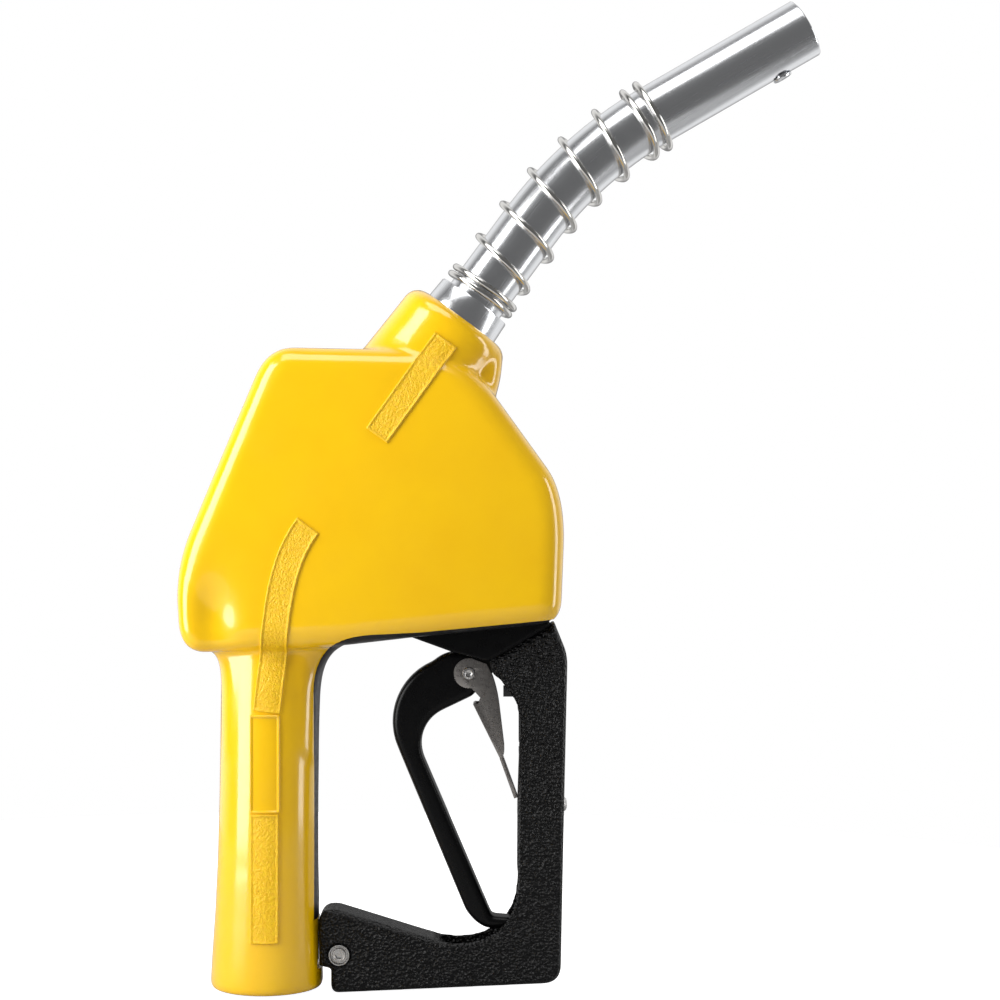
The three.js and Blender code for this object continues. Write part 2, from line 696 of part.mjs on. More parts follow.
add(nozzle, "nozzle_body", nozzleBody(), blackPaint);
add(nozzle, "body_cover", bodyCover(), yellowRubber);
add(nozzle, "lever_bracket", leverBracket(), blackPaint);
BRACKET_SCREWS.forEach((x, i) => {
  const screw = socketScrew(1.6, 9, 2.9, 2).rotateX(Math.PI).translate(x, 0, 143.1);
  add(nozzle, `bracket_screw_${i + 1}`, screw, steel);
});
add(nozzle, "inlet_seal", ring(12.4, 15.4, 20.8, 23.7), darkRubber);
const strainer = turned(
  [[10.6, 26], [11.4, 26], [7.4, 62], [0, 62], [0, 61.2], [6.8, 61.2], [10.6, 26]],
  SMALL,
);
add(nozzle, "inlet_strainer", strainer.translate(0.6, 0, 0), brass);

add(nozzle, "lever_guard", leverGuard(), blackPlastic);
const rearScrew = socketScrew(2.4, 17.6, 4.3, 2.3).rotateX(Math.PI / 2);
add(nozzle, "guard_screw", rearScrew, steel).position.set(REAR_SCREW[0], -8.9, REAR_SCREW[1]);
const nut = ring(3, 4.6, 0, 3.2, 6).rotateX(-Math.PI / 2);
add(nozzle, "guard_screw_nut", nut, steel).position.set(REAR_SCREW[0], 7.7, REAR_SCREW[1]);
add(nozzle, "guard_pin", crossRod(...GUARD_PIN, -9.1, 10.2, 2), steel);
add(nozzle, "hold_open_rack", holdOpenRack(), blackPaint);
const rackRivet = turned(
  [[0, RACK_FACE], [1.6, RACK_FACE], [1.6, 118], [2.6, 118], [2.6, 118.5], [1.8, 118.9], [0, 118.9]],
  SMALL,
);
add(nozzle, "rack_rivet", rackRivet.rotateY(Math.PI / 2).translate(0, 0, RACK_RIVET_Z), steel);

add(nozzle, "lever", lever(), blackPlastic);
add(nozzle, "lever_pin", crossRod(PIVOT_X, PIVOT_Z, -5.8, 5.8, 2.4), steel);
add(nozzle, "hold_open_clip", holdOpenClip(), steel);
const clipRivet = headedPin(1.7, 2.5, -7.6, 7.6, 0.5).rotateX(Math.PI / 2);
add(nozzle, "clip_rivet", clipRivet, steel).position.set(CLIP_PIVOT[0], 0, CLIP_PIVOT[1]);
const clipSpring = coilSpring(3.4, 0.4, 2.7, 5.4, 2.5).rotateX(-Math.PI / 2);
add(nozzle, "clip_spring", clipSpring, steel).position.set(CLIP_PIVOT[0], 0, CLIP_PIVOT[1]);

add(nozzle, "plunger", plunger(), steel);
[0, 1, 2].forEach((i) => add(nozzle, `latch_ball_${i + 1}`, latchBall(i), steel));
add(latch, "plunger_spring", coilSpring(6.8, 0.5, 147, 160.9, 4), steel);
add(latch, "latch_ring", ring(5.8, 9, 163.3, 169.5, SMALL), brass);
const latchPin = turned(
  [
    [0, 164.2], [2.1, 164.2], [2.1, 185.4], [3.5, 185.4],
    [3.5, 186.5], [1.6, 186.5], [1.6, 191], [0, 191],
  ],
  SMALL,
);
add(latch, "latch_pin", latchPin, steel);
const diaphragm = turned([
  [1.9, 186.8], [5, 186.8], [8, 184.3], [11.6, 184.3], [11.6, 185.1],
  [8.2, 185.1], [5.4, 187.6], [1.9, 187.6], [1.9, 186.8],
]);
add(latch, "diaphragm", diaphragm, darkRubber);
add(latch, "diaphragm_washer", ring(1.9, 5.4, 187.9, 189, SMALL), brass);
add(latch, "latch_spring", coilSpring(4, 0.45, 189.3, 198, 4), steel);
const diaphragmCap = turned([
  [9.4, 185.4], [11.7, 185.4], [11.7, 201], [8, 203.5],
  [0, 203.5], [0, 198.3], [9.4, 198.3], [9.4, 185.4],
]);
add(latch, "diaphragm_cap", diaphragmCap, aluminium);

const gland = turned([
  [STEM_HOLE, 147.2], [12.7, 147.2], [12.7, 152], [STEM_HOLE, 152], [STEM_HOLE, 151],
  [5.6, 151], [5.6, 148.6], [STEM_HOLE, 148.6], [STEM_HOLE, 147.2],
]);
add(valve, "packing_gland", gland, brass);
add(valve, "stem_seal", ring(STEM_HOLE, 5.3, 148.9, 150.7, SMALL), darkRubber);
const stem = turned(
  [[0, 134], [1.3, 134], [3, 137], [3, 169.9], [2, 169.9], [2, 186], [0, 186]],
  SMALL,
);
add(valve, "valve_stem", stem, steel);
add(valve, "main_seat", seatRing(8, 12.7, 165.3, 170), brass);
add(valve, "poppet_seal", ring(3.4, 10.8, 170.4, 172.2), darkRubber);
const mainPoppet = turned([
  [2.3, 172.5], [11, 172.5], [11, 175], [6, 176.5], [6, 181], [2.3, 181], [2.3, 172.5],
]);
add(valve, "main_poppet", mainPoppet, brass);
add(valve, "main_spring", coilSpring(8.4, 0.8, 177.5, 205.7, 5), steel);

add(spout, "spout_adapter", spoutAdapter(), aluminium);
add(spout, "spout_o_ring", ring(12.5, 13.7, -24, -21.6), darkRubber);
add(spout, "spout_screw", rod([0, 14, -14], [0, 20.2, -14], 2.1), steel);
add(spout, "spout_tube", spoutTube(), aluminium);
add(spout, "spout_spring", wireAlong(new SpoutCoil(), SPRING_WIRE, 110, 6), steel);
add(spout, "vent_tube", ventTube(), clearPlastic);
add(spout, "vent_port_bushing", ventPortBushing(), brass);
add(spout, "check_seat", seatRing(7.4, 13.7, -37, -30.4), brass);
const checkPoppet = turned(
  [[0, -30.1], [7.8, -30.1], [9.6, -28.6], [9.6, -27.6], [2.2, -26], [2.1, -8.5], [0, -8.5]],
  SMALL,
);
add(spout, "check_poppet", checkPoppet, brass);
add(spout, "check_spring", coilSpring(4.2, 0.5, -26.2, -18, 4), steel);
add(spout, "check_guide", checkGuide(), brass);

export default nozzle;
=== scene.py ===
import json
import math

import bmesh
import bpy
import numpy as np
from mathutils import Matrix, Vector, noise
from mathutils.bvhtree import BVHTree


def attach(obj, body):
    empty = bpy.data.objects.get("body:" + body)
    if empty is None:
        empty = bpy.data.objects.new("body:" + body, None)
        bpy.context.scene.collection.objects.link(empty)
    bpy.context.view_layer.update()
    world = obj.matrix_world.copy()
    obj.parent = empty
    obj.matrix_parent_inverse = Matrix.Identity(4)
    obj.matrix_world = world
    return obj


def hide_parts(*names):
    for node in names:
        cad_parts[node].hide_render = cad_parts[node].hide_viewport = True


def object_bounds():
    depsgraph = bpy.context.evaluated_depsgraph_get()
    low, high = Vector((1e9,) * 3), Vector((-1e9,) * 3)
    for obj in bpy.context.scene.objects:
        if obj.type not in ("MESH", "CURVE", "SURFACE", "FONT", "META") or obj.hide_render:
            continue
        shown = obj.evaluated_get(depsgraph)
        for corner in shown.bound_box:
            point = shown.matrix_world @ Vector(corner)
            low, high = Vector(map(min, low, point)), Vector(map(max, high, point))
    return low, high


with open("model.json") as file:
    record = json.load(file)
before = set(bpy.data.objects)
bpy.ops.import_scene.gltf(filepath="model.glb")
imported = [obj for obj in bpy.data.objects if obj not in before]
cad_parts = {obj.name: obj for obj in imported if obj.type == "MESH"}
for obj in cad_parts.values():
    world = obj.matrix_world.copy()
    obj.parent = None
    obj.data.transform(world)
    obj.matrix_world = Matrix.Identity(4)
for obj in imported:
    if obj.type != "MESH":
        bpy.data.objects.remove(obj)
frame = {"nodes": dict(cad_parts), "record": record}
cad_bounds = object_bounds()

MM = 0.001
NODES = frame["nodes"]
LARGE = 96  # sides of the large turned pieces
SMALL = 48

# The nozzle's driving dimensions, as in the CAD but for the jacket's softer roundings.
JACKET_HALF_DEPTH = 27
JACKET_WALL = 2.5
JACKET_EDGE = 8.5
THROAT_HALF_DEPTH = 16.6
THROAT_EDGE = 12
HANDLE_FOOT = 0.4
HANDLE_LEAN = 0.014
HOLLOW_HALF_DEPTH = 18  # of the space inside the jacket's body
HOLLOW_EDGE = 9
COLLAR_END = Vector((77.3, 0, 265.2))
COLLAR_RADIUS = 23.4
COLLAR_LENGTH = 46
COLLAR_BORE = 16.9
COLLAR_LIP = 6
SPOUT_TILT = math.radians(36.5)
SPOUT_RADIUS = 12
SPOUT_WALL = 1.4
SPOUT_STRAIGHT = 45.5
BEND_RADIUS = 165
SPOUT_BEND = math.radians(23.5)
BEND_END = SPOUT_STRAIGHT + BEND_RADIUS * SPOUT_BEND
SPOUT_LENGTH = BEND_END + 68.4
PORT_FROM_TIP = 17.7
ADAPTER_TOP = 8.6
SPRING_WIRE = 1.25
SPRING_RADIUS = SPOUT_RADIUS + SPRING_WIRE + 0.9
SPRING_LEAN = 0.9
SPRING_TURNS = 8.7
GUARD_ROOM = ((20.6, -10.8, 8.6), (32, 10.8, 34))  # where the guard's lug meets the handle
GUARD_SCREW = (29.3, -8.9, 14.6)
CLIP_PIVOT = (80.2, 0, 125)
RACK_RIVET_Z = 72.6
SPOUT_FRAME = Matrix.Translation(COLLAR_END) @ Matrix.Rotation(SPOUT_TILT, 4, "Y")


# ---- Outlines -------------------------------------------------------------------------------

def bezier(points, steps=14):
    """The points of a Bezier curve after its first, for any number of control points."""
    order = len(points) - 1
    out = []
    for i in range(1, steps + 1):
        t = i / steps
        weights = [math.comb(order, k) * t**k * (1 - t) ** (order - k) for k in range(order + 1)]
        out.append(tuple(sum(w * p[axis] for w, p in zip(weights, points)) for axis in (0, 1)))
    return out


def outline(start, *moves):
    """An outline in the XZ plane. Each move is the list of a Bezier curve's further points."""
    points = [start]
    for move in moves:
        if len(move) == 1:
            points.append(move[0])
        else:
            points.extend(bezier([points[-1], *move]))
    return points


def body_outline():
    return outline(
        (-23, 133.9),
        [(30, 136)],
        [(58, 139.2)],
        [(107, 144.2)],
        [(116.6, 145), (116.6, 155)],
        [(117.4, 176)],
        [(118, 197), (110, 207)],
        [(92, 232)],
        [(80, 249.5), (60, 251.8)],
        [(13, 252.8)],
        [(2, 253.4), (-3, 241.4)],
        [(-28.4, 180.6)],
        [(-33.6, 168), (-33.4, 154)],
        [(-33, 147)],
        [(-32.6, 134.2), (-23, 133.9)],
    )


def neck_outline():
    return outline(
        (-17.4, 90),
        [(20.4, 90)],
        [(21.2, 112)],
        [(21.6, 134.5), (27, 138.6), (58, 139.4)],
        [(66, 160)],
        [(-28, 160)],
        [(-28, 137)],
        [(-24, 134.4)],
        [(-18, 133.4), (-17.4, 127), (-17.6, 112)],
    )


def shoulder_outline():
    """The web that fills the angle between the collar and the body's sloping side."""
    return outline(
        (60, 226),
        [(90.6, 233.6)],
        [(93.6, 243), (93.4, 251)],
        [(90, 255), (80, 258)],
        [(52, 262)],
        [(50, 240)],
    )


def bare_outline(clearance=0):
    """The side that the jacket leaves bare: a strip down the handle and the whole underside."""
    points = outline(
        (19.3, 28 + 2 * clearance),
        [(19.3, 118)],
        [(19.6, 136), (30, 141), (46, 141.3)],
        [(61.4, 142)],
        [(130, 148.4)],
        [(130, 28 + 2 * clearance)],
    )
    return [(x + clearance, z - clearance) for x, z in points]


# ---- Meshes ---------------------------------------------------------------------------------

def link(name, mesh):
    piece = bpy.data.objects.new(name, mesh)
    bpy.context.scene.collection.objects.link(piece)
    return piece


def mesh_piece(name, points, faces, where=None):
    """A piece from points in millimetres, carried to its place by where."""
    where = where or Matrix.Identity(4)
    mesh = bpy.data.meshes.new(name)
    mesh.from_pydata([MM * (where @ Vector(p)) for p in points], [], faces)
    return link(name, mesh)


def tidy_normals(piece, smooth=True, angle=math.radians(35)):
    """Merges double points, turns the faces out, and shades the piece smooth but for its edges."""
    shape = bmesh.new()
    shape.from_mesh(piece.data)
    bmesh.ops.remove_doubles(shape, verts=shape.verts, dist=1e-6)
    bmesh.ops.recalc_face_normals(shape, faces=shape.faces)
    for edge in shape.edges:
        edge.smooth = not (edge.is_manifold and edge.calc_face_angle(0) > angle)
    for face in shape.faces:
        face.smooth = smooth
    shape.to_mesh(piece.data)
    shape.free()
    return piece


def baked(piece):
    """Applies a piece's modifiers."""
    graph = bpy.context.evaluated_depsgraph_get()
    mesh = bpy.data.meshes.new_from_object(piece.evaluated_get(graph))
    piece.modifiers.clear()
    piece.data = mesh
    return piece


def mesh_of(name, curve):
    """The mesh of a curve, which is used up."""
    flat = link(name, curve)
    graph = bpy.context.evaluated_depsgraph_get()
    mesh = bpy.data.meshes.new_from_object(flat.evaluated_get(graph))
    bpy.data.objects.remove(flat)
    return mesh


def plate(name, points, half, edge=0, y=0):
    """A plate across Y with its outline in the XZ plane and round edges."""
    curve = bpy.data.curves.new(name, "CURVE")
    curve.dimensions = "2D"
    curve.fill_mode = "BOTH"
    curve.extrude = (half - edge) * MM
    curve.bevel_depth = edge * MM
    curve.bevel_resolution = 5
    curve.offset = -edge * MM
    spline = curve.splines.new("POLY")
    spline.points.add(len(points) - 1)
    for point, (x, z) in zip(spline.points, points):
        point.co = (x * MM, z * MM, 0, 1)
    spline.use_cyclic_u = True
    mesh = mesh_of(name, curve)
    mesh.transform(Matrix.Translation((0, y * MM, 0)) @ Matrix.Rotation(math.pi / 2, 4, "X"))
    return tidy_normals(link(name, mesh))


def turned(name, profile, sides=64, where=None, bend=None):
    """A solid turned about Z from (radius, height) pairs. bend moves each point before it is
    placed. Its UV map runs round it in u and along its profile in v."""
    points = []
    rings = []
    for radius, height in profile:
        count = 1 if radius == 0 else sides
        rings.append([len(points) + i % count for i in range(sides)])
        for i in range(count):
            angle = 2 * math.pi * i / sides
            point = Vector((radius * math.cos(angle), radius * math.sin(angle), height))
            points.append(bend(point) if bend else point)
    faces = []
    uvs = []
    for row, (low, high) in enumerate(zip(rings, rings[1:])):
        for i in range(sides):
            j = (i + 1) % sides
            corners = [
                (low[i], i, row),
                (low[j], i + 1, row),
                (high[j], i + 1, row + 1),
                (high[i], i, row + 1),
            ]
            kept = [c for k, c in enumerate(corners) if c[0] != corners[k - 1][0]]
            if len(kept) < 3:
                continue
            faces.append([c[0] for c in kept])
            uvs.extend((c[1] / sides, profile[c[2]][1] / 100) for c in kept)
    piece = mesh_piece(name, points, faces, where)
    layer = piece.data.uv_layers.new(name="turned")
    for corner, uv in zip(layer.data, uvs):
        corner.uv = uv
    return tidy_normals(piece)


def block(name, low, high):
    """A box between two opposite corners."""
    xs, ys, zs = zip(low, high)
    corners = [(x, y, z) for x in xs for y in ys for z in zs]
    faces = [(0, 1, 3, 2), (4, 6, 7, 5), (0, 4, 5, 1), (2, 3, 7, 6), (0, 2, 6, 4), (1, 5, 7, 3)]
    return tidy_normals(mesh_piece(name, corners, faces), smooth=False)


def fused(name, pieces, voxel, rounds):
    """Runs pieces together into one skin whose inner and outer corners are soft."""
    shape = bmesh.new()
    for piece in pieces:
        shape.from_mesh(piece.data)
        bpy.data.objects.remove(piece)
    mesh = bpy.data.meshes.new(name)
    shape.to_mesh(mesh)
    shape.free()
    whole = link(name, mesh)
    remesh = whole.modifiers.new("skin", "REMESH")
    remesh.mode = "VOXEL"
    remesh.voxel_size = voxel * MM
    remesh.use_smooth_shade = True
    smooth = whole.modifiers.new("soft", "SMOOTH")
    smooth.factor = 0.5
    smooth.iterations = rounds
    return baked(whole)


def cut(piece, *tools):
    """Cuts the tools out of a piece, and removes them."""
    for tool in tools:
        step = piece.modifiers.new("cut", "BOOLEAN")
        step.operation = "DIFFERENCE"
        step.solver = "EXACT"
        step.object = tool
    baked(piece)
    for tool in tools:
        bpy.data.objects.remove(tool)
    return tidy_normals(piece)


def from_cad(node, name):
    mesh = NODES[node].data.copy()
    mesh.materials.clear()
    return link(name, mesh)


def softened(node, name, voxel, rounds):
    """A CAD node as it comes from its mould, with soft edges."""
    return fused(name, [from_cad(node, name)], voxel, rounds)


def edged(node, name, width):
    """A CAD node with its sharp edges broken."""
    piece = tidy_normals(from_cad(node, name))
    bevel = piece.modifiers.new("edges", "BEVEL")
    bevel.width = width * MM
    bevel.segments = 2
    bevel.limit_method = "ANGLE"
    bevel.angle_limit = math.radians(38)
    return tidy_normals(baked(piece))


# ---- Materials ------------------------------------------------------------------------------

class Look:
    """A Principled material built up one feature at a time, in object or UV coordinates."""

    def __init__(self, name, color, roughness, metallic=0.0, coat=0.0):
        self.material = bpy.data.materials.new(name)
        self.material.use_nodes = True
        self.nodes = self.material.node_tree.nodes
        self.links = self.material.node_tree.links
        self.shader = self.nodes["Principled BSDF"]
        self.color = color
        self.shader.inputs["Base Color"].default_value = (*color, 1)
        self.shader.inputs["Roughness"].default_value = roughness
        self.shader.inputs["Metallic"].default_value = metallic
        self.shader.inputs["Coat Weight"].default_value = coat
        self.shader.inputs["Coat Roughness"].default_value = 0.08
        self.place = self.nodes.new("ShaderNodeTexCoord")

    def noise(self, scale, detail=2.0, stretch=(1, 1, 1), source="Object"):
        mapping = self.nodes.new("ShaderNodeMapping")
        mapping.inputs["Scale"].default_value = stretch
        texture = self.nodes.new("ShaderNodeTexNoise")
        texture.inputs["Scale"].default_value = scale
        texture.inputs["Detail"].default_value = detail
        self.links.new(self.place.outputs[source], mapping.inputs["Vector"])
        self.links.new(mapping.outputs["Vector"], texture.inputs["Vector"])
        return texture.outputs["Fac"]

    def between(self, value, low, high):
        """Spreads a noise over low to high. A noise mostly lies between 0.3 and 0.7."""
        ramp = self.nodes.new("ShaderNodeMapRange")
        ramp.inputs["From Min"].default_value = 0.3
        ramp.inputs["From Max"].default_value = 0.7
        ramp.inputs["To Min"].default_value = low
        ramp.inputs["To Max"].default_value = high
        self.links.new(value, ramp.inputs["Value"])
        return ramp.outputs["Result"]

    def roughness(self, value, low, high):
        self.links.new(self.between(value, low, high), self.shader.inputs["Roughness"])
        return self

    def tint(self, value, other):
        """Mottles the colour towards another."""
        mix = self.nodes.new("ShaderNodeMix")
        mix.data_type = "RGBA"
        mix.inputs["A"].default_value = (*self.color, 1)
        mix.inputs["B"].default_value = (*other, 1)
        self.links.new(self.between(value, 0, 1), mix.inputs["Factor"])
        self.links.new(mix.outputs["Result"], self.shader.inputs["Base Color"])
        return self

    def bump(self, value, depth, strength=1.0):
        """Raises the surface by up to depth millimetres."""
        bump = self.nodes.new("ShaderNodeBump")
        bump.inputs["Strength"].default_value = strength
        bump.inputs["Distance"].default_value = depth * MM
        before = self.shader.inputs["Normal"].links
        if before:
            self.links.new(before[0].from_socket, bump.inputs["Normal"])
        self.links.new(value, bump.inputs["Height"])
        self.links.new(bump.outputs["Normal"], self.shader.inputs["Normal"])
        return self


def vinyl():
    look = Look("yellow_vinyl", (0.93, 0.53, 0.0), 0.2, coat=0.8)
    look.tint(look.noise(35, 3), (0.96, 0.57, 0.0))
    look.roughness(look.noise(60, 4), 0.16, 0.27)
    return look.bump(look.noise(60), 0.25, 0.5).material


def stippled_vinyl():
    look = Look("yellow_stipple", (0.9, 0.5, 0.0), 0.42, coat=0.05)
    look.tint(look.noise(700, 3), (0.95, 0.6, 0.005))
    return look.bump(look.noise(1500, 3), 0.5).material


def pebbles(look, scale):
    """The cells of a leather grain."""
    cells = look.nodes.new("ShaderNodeTexVoronoi")
    cells.feature = "SMOOTH_F1"
    cells.inputs["Scale"].default_value = scale
    cells.inputs["Smoothness"].default_value = 0.35
    look.links.new(look.place.outputs["Object"], cells.inputs["Vector"])
    return cells.outputs["Distance"]


def grained_plastic():
    look = Look("grained_black", (0.003, 0.003, 0.0032), 0.3)
    look.shader.inputs["Specular IOR Level"].default_value = 0.18
    look.roughness(look.noise(400, 3), 0.16, 0.3)
    return look.bump(pebbles(look, 850), 1.2).bump(look.noise(1300), 0.4).material


def smooth_plastic():
    look = Look("smooth_black", (0.0025, 0.0025, 0.0027), 0.28)
    look.shader.inputs["Specular IOR Level"].default_value = 0.15
    return look.roughness(look.noise(200, 3), 0.24, 0.34).material


def casting_paint():
    look = Look("black_coating", (0.012, 0.012, 0.013), 0.4, metallic=0.1)
    look.roughness(look.noise(400, 3), 0.32, 0.5)
    return look.bump(look.noise(800, 3), 0.1).material


def drawn_aluminium():
    look = Look("drawn_aluminium", (0.8, 0.81, 0.83), 0.24, metallic=1.0)
    lines = look.noise(1, 3, (220, 3, 1), "UV")
    look.roughness(lines, 0.18, 0.28)
    look.tint(lines, (0.7, 0.71, 0.73))
    return look.bump(lines, 0.01, 0.15).material


def turned_metal(name, color, low, high):
    look = Look(name, color, low, metallic=1.0)
    look.roughness(look.noise(900, 3), low, high)
    return look.bump(look.noise(1500, 2), 0.015).material


def stamped_steel():
    look = Look("stamped_steel", (0.36, 0.34, 0.325), 0.28, metallic=1.0)
    look.roughness(look.noise(900, 3), 0.24, 0.36)
    return look.tint(look.noise(90, 2), (0.3, 0.28, 0.265)).material


def plain(name, color, roughness):
    look = Look(name, color, roughness)
    look.roughness(look.noise(600, 3), roughness * 0.8, min(roughness * 1.2, 1))
    return look.material


LOOKS = {
    "yellow_jacket": vinyl(),
    "black_casting": casting_paint(),
    "black_plastic": grained_plastic(),
    "lever_plastic": smooth_plastic(),
    "spout_aluminium": drawn_aluminium(),
    "bright_steel": turned_metal("bright_steel", (0.66, 0.65, 0.63), 0.1, 0.2),
    "stamped_steel": stamped_steel(),
    "screw_steel": turned_metal("screw_steel", (0.58, 0.57, 0.56), 0.18, 0.32),
    "valve_brass": turned_metal("valve_brass", (0.62, 0.44, 0.17), 0.2, 0.35),
    "seal_rubber": plain("seal_rubber", (0.012, 0.012, 0.012), 0.6),
    "vent_nylon": plain("vent_nylon", (0.6, 0.57, 0.48), 0.45),
}
STIPPLE = stippled_vinyl()


def dress(piece, body, slot, *nodes, material=None):
    """Gives a piece its body, its material and the CAD nodes that it stands for."""
    piece.data.materials.clear()
    piece.data.materials.append(material or LOOKS[slot])
    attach(piece, body)
    if nodes:
        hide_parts(*nodes)
    return piece


def dress_cad_nodes():
    for entry in frame["record"]["subparts"]:
        mesh = NODES[entry["node"]].data
        mesh.materials.clear()
        mesh.materials.append(LOOKS[entry["material_slot"]])


# ---- The jacket -----------------------------------------------------------------------------

def handle(name, inset, foot):
    """The handle's grip, a little wider at its foot."""
    profile = [
        (0, foot), (20.9, foot), (22.0, foot + 0.9), (22.3, foot + 2.2), (21.9, 12),
        (20.9, 30), (20.2, 50), (19.8, 75), (19.7, 160), (0, 160),
    ]
    drawn_in = [(max(r - inset, 0), z) for r, z in profile]
    lean = Matrix.Identity(4)
    lean[0][2] = HANDLE_LEAN
    return turned(name, drawn_in, LARGE, lean)


def collar(name):
    """The collar that the spout comes out of, with a round lip."""
    r, lip = COLLAR_RADIUS, COLLAR_LIP
    profile = [(0, -COLLAR_LENGTH), (r + 1.4, -COLLAR_LENGTH), (r, -lip - 3)]
    for turn in range(0, 91, 15):
        a = math.radians(turn)
        profile.append((r - lip + lip * math.cos(a), -lip + lip * math.sin(a)))
    return turned(name, [*profile, (0, 0)], LARGE, SPOUT_FRAME)


def jacket_solid():
    """The nozzle's whole outside without its guard and spout, run together and crowned."""
    skin = fused(
        "jacket_solid",
        [
            plate("body", body_outline(), JACKET_HALF_DEPTH, JACKET_EDGE),
            plate("neck", neck_outline(), THROAT_HALF_DEPTH, THROAT_EDGE),
            plate("shoulder", shoulder_outline(), 13, 7),
            handle("grip", 0, HANDLE_FOOT),
            collar("collar"),
        ],
        voxel=0.9,
        rounds=20,
    )
    return crowned(skin)


def crowned(skin):
    """Draws the body's two faces in towards its edges, as a dipped jacket lies over its casting,
    and dents them a little above the handle's left side."""
    centre, reach, sag = (48, 190), (84, 66), 3.2
    lobe, lobe_reach, lobe_depth = (-19, 147), (9, 15), 0.13
    places = np.empty(len(skin.data.vertices) * 3)
    skin.data.vertices.foreach_get("co", places)
    places = places.reshape(-1, 3)
    across = (places[:, 0] / MM - centre[0]) / reach[0]
    up = (places[:, 2] / MM - centre[1]) / reach[1]
    away = np.clip(across**2 + up**2, 0, 1)
    on_body = np.clip((places[:, 2] / MM - 120) / 20, 0, 1)
    places[:, 1] *= 1 - on_body * away * sag / JACKET_HALF_DEPTH
    from_lobe = (places[:, 0] / MM - lobe[0]) ** 2 / lobe_reach[0] ** 2
    from_lobe += (places[:, 2] / MM - lobe[1]) ** 2 / lobe_reach[1] ** 2
    places[:, 1] *= 1 - lobe_depth * np.exp(-from_lobe)
    skin.data.vertices.foreach_set("co", places.ravel())
    skin.data.update()
    return skin


def jacket(solid):
    """The yellow skin, open at the collar's mouth, at its foot and down its bare side."""
    skin = link("jacket", solid.data.copy())
    hollow = [
        (-26, 141), (110, 147), (113, 178), (106, 204), (88, 229),
        (72, 246), (5, 247), (-27, 172), (-27, 150),
    ]
    bore = COLLAR_BORE
    cut(
        skin,
        plate("inner_body", hollow, HOLLOW_HALF_DEPTH, HOLLOW_EDGE),
        handle("inner_handle", JACKET_WALL, -4),
        turned("mouth", [(0, -50), (bore, -50), (bore, 8), (0, 8)], LARGE, SPOUT_FRAME),
        plate("bare", bare_outline(), 40),
        block("guard_room", *GUARD_ROOM),
    )
    return dress(skin, "nozzle", "yellow_jacket", "body_cover")


def inside(outline_points, x, z):
    """Which of the places (x, z) lie within an outline."""
    within = np.zeros(len(x), bool)
    for (x0, z0), (x1, z1) in zip(outline_points, outline_points[1:] + outline_points[:1]):
        if z0 != z1:
            crossing = (z0 > z) != (z1 > z)
            within ^= crossing & (x < (x1 - x0) * (z - z0) / (z1 - z0) + x0)
    return within


def casting(solid):
    """The black casting: just under the skin on its bare side, and inside the jacket elsewhere."""
    core = link("casting", solid.data.copy())
    count = len(core.data.vertices)
    places, normals = np.empty(count * 3), np.empty(count * 3)
    core.data.vertices.foreach_get("co", places)
    core.data.vertices.foreach_get("normal", normals)
    places, normals = places.reshape(-1, 3), normals.reshape(-1, 3)
    bare = inside(bare_outline(0.2), places[:, 0] / MM, places[:, 2] / MM)
    depth = np.where(bare, 0.45, JACKET_WALL + 0.5)
    places -= normals * depth[:, None] * MM
    core.data.vertices.foreach_set("co", places.ravel())
    core.data.update()
    cut(
        core,
        block("bracket_seat", (48.6, -10.5, 120), (104.3, 10.5, 146.9)),
        block("guard_seat", (104, -10.8, 120), (121, 10.8, 145.6)),
        block("rear_seat", (20.4, -10.8, 8.6), (32, 10.8, 34)),
        turned("inlet", [(0, -5), (15.8, -5), (15.8, 24), (12, 24), (12, 120), (0, 120)], LARGE),
        turned("outlet", [(0, -50), (14, -50), (14, 10), (0, 10)], LARGE, SPOUT_FRAME),
    )
    return dress(core, "nozzle", "black_casting", "nozzle_body")


def seam_liners():
    """The guard's two inner lips, which close the seam between it and the bracket."""
    lip = [(88.4, 131.6), (112, 145.4), (112.6, 143.4), (89.4, 129.4)]
    for side, name in ((-1, "front"), (1, "back")):
        dress(plate(f"seam_liner_{name}", lip, 0.35, y=side * 7.2), "nozzle", "black_casting")


# ---- The raised strips on the jacket's faces ------------------------------------------------

STRIP_STEP = 0.4  # between the points of a strip's mesh
SKIRT = 0.3  # a strip's edge goes down into the jacket over this width
RIM = 0.95
SKIRT_HEIGHT = -0.4
RIM_HEIGHT = 0.75
PANEL_HEIGHT = 0.05
STIPPLE_HEIGHT = 0.35
STIPPLE_SWING = 0.2
STIPPLE_FINENESS = 1.3


def strip_relief(across, along, length, width, framed):
    """How far a strip stands out of the jacket: a plain rim round a stippled or a plain field."""
    to_edge = min(width / 2 - abs(across), along, length - along)
    if to_edge < SKIRT:
        return SKIRT_HEIGHT
    if to_edge < RIM:
        return RIM_HEIGHT
    if framed:
        return PANEL_HEIGHT
    place = Vector((across * STIPPLE_FINENESS, along * STIPPLE_FINENESS, width))
    return STIPPLE_HEIGHT + STIPPLE_SWING * noise.noise(place)


